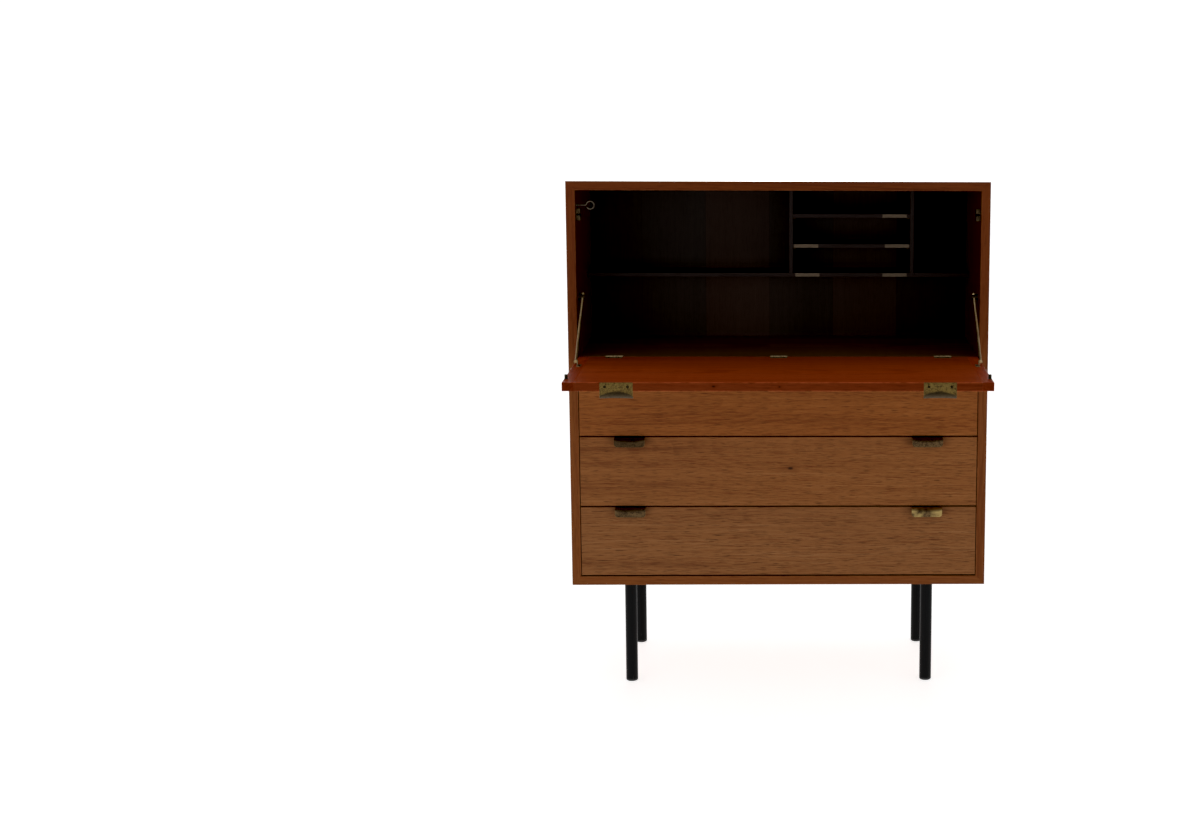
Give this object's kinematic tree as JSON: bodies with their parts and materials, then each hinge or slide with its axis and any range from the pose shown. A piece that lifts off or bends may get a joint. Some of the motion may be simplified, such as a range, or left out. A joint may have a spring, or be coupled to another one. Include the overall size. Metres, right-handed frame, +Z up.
{
  "type": "secretary desk",
  "caption": "Drop-front secretary desk: mitred teak case on round steel legs, fall flap on brass rod stays over full-width drawers with lip pulls, shelves and pigeonholes inside.",
  "frame": {"origin": "on the floor, under the middle of the desk with its flap open: half way between the flap's free edge and the case's rear edge, and half way between the two sides", "axes": "+Z up, +Y from the front to the back, +X to the right for someone who stands in front of the desk"},
  "size_m": [0.93, 0.717, 1.138],
  "materials": {
    "case_teak": "oiled teak veneer and lippings",
    "floor_teak": "oiled teak",
    "flap_teak": "oiled teak, reddened",
    "front_teak": "oiled teak veneer",
    "inside_teak": "thin oiled teak",
    "drawer_wood": "waxed beech",
    "label_metal": "satin",
    "leg_black": "satin black paint",
    "glide_black": "moulded",
    "steel": "zinc plated",
    "brass": "aged, worn bright at the edges"
  },
  "bodies": {
    "case": {"left_side": "case_teak", "right_side": "case_teak", "top_panel": "case_teak", "bottom_panel": "case_teak", "back_panel": "inside_teak", "back_screws": "steel", "desk_floor": "floor_teak", "long_shelf": "inside_teak", "divider_left": "inside_teak", "divider_right": "inside_teak", "small_shelf_lower": "inside_teak", "small_shelf_upper": "inside_teak", "shelf_pins": "brass", "label_holders": "label_metal", "cup_hook": "brass", "catch_bodies": "brass", "catch_balls": "steel", "drawer_runners": "drawer_wood", "runner_screws": "steel", "case_hinge_leaves": "brass", "hinge_pins": "brass", "stay_bushes": "brass", "case_brass_screws": "brass", "leg_plates": "steel", "plate_screws": "steel", "leg_front_left": "leg_black", "leg_front_right": "leg_black", "leg_rear_left": "leg_black", "leg_rear_right": "leg_black", "leg_glides": "glide_black"},
    "flap": {"flap_panel": "flap_teak", "flap_cleat_left": "flap_teak", "flap_cleat_right": "flap_teak", "flap_pulls": "brass", "flap_hinge_leaves": "brass", "flap_stay_brackets": "brass", "catch_strikes": "brass", "flap_brass_screws": "brass"},
    "stay_rod_left": {"stay_rod_left": "brass"},
    "stay_swivel_left": {"stay_swivel_left": "brass"},
    "stay_rod_right": {"stay_rod_right": "brass"},
    "stay_swivel_right": {"stay_swivel_right": "brass"},
    "lower_drawer": {"lower_drawer_front": "front_teak", "lower_drawer_sides": "drawer_wood", "lower_drawer_back": "drawer_wood", "lower_drawer_bottom": "drawer_wood", "lower_drawer_pulls": "brass", "lower_drawer_screws": "brass"},
    "middle_drawer": {"middle_drawer_front": "front_teak", "middle_drawer_sides": "drawer_wood", "middle_drawer_back": "drawer_wood", "middle_drawer_bottom": "drawer_wood", "middle_drawer_pulls": "brass", "middle_drawer_screws": "brass"},
    "upper_drawer": {"upper_drawer_front": "front_teak", "upper_drawer_sides": "drawer_wood", "upper_drawer_back": "drawer_wood", "upper_drawer_bottom": "drawer_wood", "upper_drawer_pulls": "brass", "upper_drawer_screws": "brass"}
  },
  "joints": [
    {"name": "flap_hinge", "type": "hinge", "parent": "case", "child": "flap", "pos_m": [0, 0.0085, 0.749], "axis": [-1, 0, 0], "range_deg": [0, 90]},
    {"name": "left_rod_pivot", "type": "hinge", "parent": "flap", "child": "stay_rod_left", "pos_m": [-0.437, -0.12526, 0.757], "axis": [1, 0, 0], "range_deg": [0, 45]},
    {"name": "left_swivel_turn", "type": "hinge", "parent": "case", "child": "stay_swivel_left", "pos_m": [-0.437, 0.04476, 0.878], "axis": [-1, 0, 0], "range_deg": [0, 45]},
    {"name": "right_rod_pivot", "type": "hinge", "parent": "flap", "child": "stay_rod_right", "pos_m": [0.437, -0.12526, 0.757], "axis": [1, 0, 0], "range_deg": [0, 45]},
    {"name": "right_swivel_turn", "type": "hinge", "parent": "case", "child": "stay_swivel_right", "pos_m": [0.437, 0.04476, 0.878], "axis": [-1, 0, 0], "range_deg": [0, 45]},
    {"name": "lower_drawer_slide", "type": "slide", "parent": "case", "child": "lower_drawer", "axis": [0, -1, 0], "range_m": [0, 0.25]},
    {"name": "middle_drawer_slide", "type": "slide", "parent": "case", "child": "middle_drawer", "axis": [0, -1, 0], "range_m": [0, 0.25]},
    {"name": "upper_drawer_slide", "type": "slide", "parent": "case", "child": "upper_drawer", "axis": [0, -1, 0], "range_m": [0, 0.25]}
  ],
  "couplings": [
    {"joint": "left_rod_pivot", "follows": "flap_hinge", "ratio": 0.5},
    {"joint": "left_swivel_turn", "follows": "flap_hinge", "ratio": 0.5},
    {"joint": "right_rod_pivot", "follows": "flap_hinge", "ratio": 0.5},
    {"joint": "right_swivel_turn", "follows": "flap_hinge", "ratio": 0.5}
  ]
}
